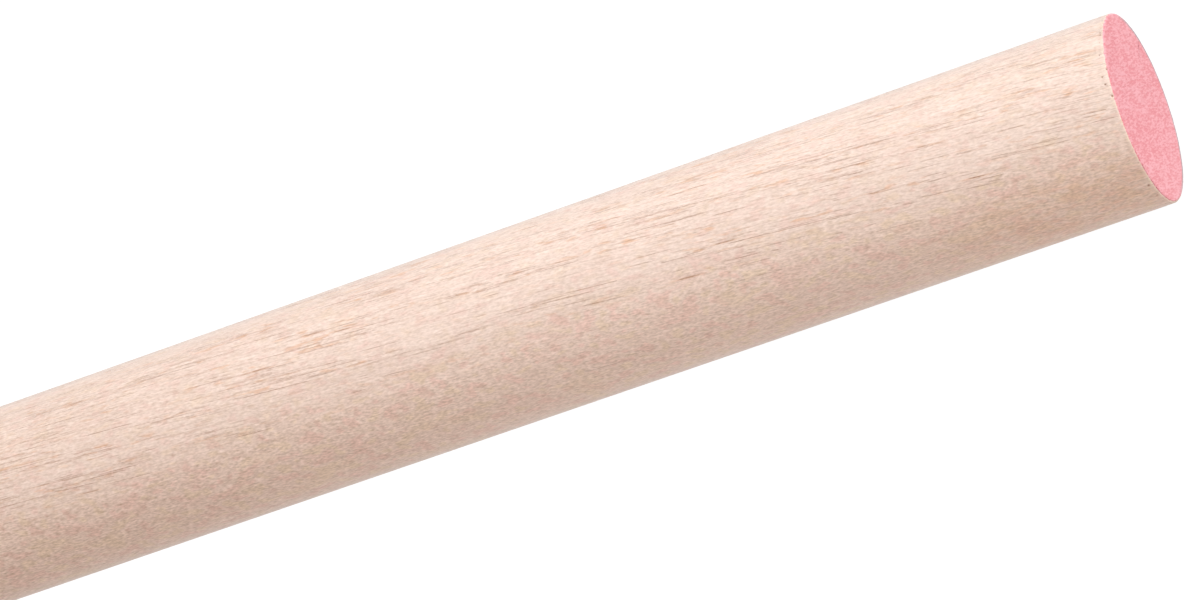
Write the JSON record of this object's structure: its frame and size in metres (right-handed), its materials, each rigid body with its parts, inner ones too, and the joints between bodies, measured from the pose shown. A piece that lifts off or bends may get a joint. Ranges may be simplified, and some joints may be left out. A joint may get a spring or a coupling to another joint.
{
  "type": "wooden dowel rod",
  "caption": "Straight round hardwood dowel rod with square sawn ends, lightly eased edges and a painted colour-code end.",
  "frame": {"origin": "centre of the plain sawn end face, which the rod stands on", "axes": "+Z along the rod's axis, towards the painted end"},
  "size_m": [0.0254, 0.0254, 0.3049],
  "materials": {
    "bare_wood": "bare sanded pale hardwood, straight to gently sloping grain with short brown vessel lines",
    "end_paint": "thin matt pink acrylic paint, stippled where it has soaked into the end grain"
  },
  "bodies": {
    "root": {"rod": "bare_wood", "end_paint": "end_paint"}
  },
  "joints": []
}
